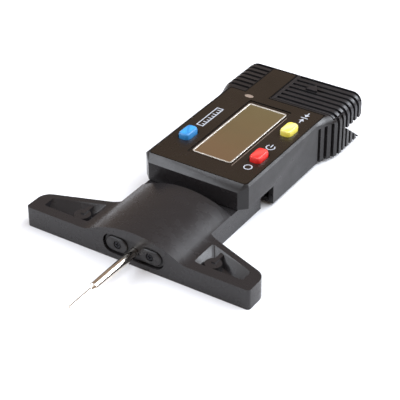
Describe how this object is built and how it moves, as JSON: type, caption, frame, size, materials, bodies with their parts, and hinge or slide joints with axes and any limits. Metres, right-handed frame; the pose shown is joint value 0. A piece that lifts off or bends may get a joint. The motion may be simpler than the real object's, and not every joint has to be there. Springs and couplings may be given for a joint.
{
  "type": "tire tread gauge",
  "caption": "Flat pocket depth gauge: a winged foot with a needle probe, and a display module with window, three keys and a ribbed grip that slides on the foot's beam.",
  "frame": {"origin": "centre of the bounding box in plan, on the plane of the gauge's underside", "axes": "+Y along the probe and the slide, from the needle's tip towards the display module's tail; +X across the foot; +Z out of the display face"},
  "size_m": [0.073, 0.123, 0.0162],
  "materials": {
    "black_moulding": "satin black moulding",
    "grip_moulding": "ribbed satin black moulding",
    "overlay_film": "glossy brown-black printed film",
    "window_acrylic": "clear window with a silver printed frame line",
    "display_glass": "olive liquid crystal display",
    "unit_blue": "semi-gloss blue",
    "power_red": "semi-gloss red",
    "zero_yellow": "semi-gloss yellow",
    "probe_steel": "polished",
    "screw_steel": "blackened",
    "spring_bronze": "plain strip",
    "contact_nickel": "nickel plated",
    "cell_steel": "plain can",
    "board_laminate": "green solder mask",
    "scale_copper": "etched copper pattern",
    "chip_epoxy": "black epoxy drop",
    "switch_plastic": "plain",
    "zebra_rubber": "layered conductive rubber",
    "carrier_nylon": "natural nylon"
  },
  "bodies": {
    "foot": {"base_frame": "black_moulding", "scale_strip": "scale_copper", "front_plug": "black_moulding", "plug_screw_left": "screw_steel", "plug_screw_right": "screw_steel"},
    "display_module": {"upper_housing": "black_moulding", "bottom_cover": "black_moulding", "probe": "probe_steel", "probe_carrier": "carrier_nylon", "carrier_screw": "screw_steel", "face_overlay": "overlay_film", "display_window": "window_acrylic", "lcd_panel": "display_glass", "zebra_strip_left": "zebra_rubber", "zebra_strip_right": "zebra_rubber", "unit_switch": "switch_plastic", "power_switch": "switch_plastic", "zero_switch": "switch_plastic", "circuit_board": "board_laminate", "controller_chip": "chip_epoxy", "quartz_crystal": "contact_nickel", "button_cell": "cell_steel", "negative_contact": "contact_nickel", "positive_contact": "contact_nickel", "gib_spring": "spring_bronze", "cover_screw_left_front": "screw_steel", "cover_screw_left_rear": "screw_steel", "cover_screw_right_front": "screw_steel", "cover_screw_right_rear": "screw_steel"},
    "battery_lid": {"battery_cover": "grip_moulding"},
    "unit_key": {"unit_button": "unit_blue"},
    "power_key": {"power_button": "power_red"},
    "zero_key": {"zero_button": "zero_yellow"}
  },
  "joints": [
    {"name": "module_slide", "type": "slide", "parent": "foot", "child": "display_module", "axis": [0, 1, 0], "range_m": [-0.0025, 0.0285]},
    {"name": "battery_lid_slide", "type": "slide", "parent": "display_module", "child": "battery_lid", "axis": [0, 1, 0], "range_m": [0, 0.0175]},
    {"name": "unit_key_press", "type": "slide", "parent": "display_module", "child": "unit_key", "axis": [0, 0, -1], "range_m": [0, 0.0006], "stiffness_N_per_m": 900, "springref_m": -0.0003},
    {"name": "power_key_press", "type": "slide", "parent": "display_module", "child": "power_key", "axis": [0, 0, -1], "range_m": [0, 0.0006], "stiffness_N_per_m": 900, "springref_m": -0.0003},
    {"name": "zero_key_press", "type": "slide", "parent": "display_module", "child": "zero_key", "axis": [0, 0, -1], "range_m": [0, 0.0006], "stiffness_N_per_m": 900, "springref_m": -0.0003}
  ]
}
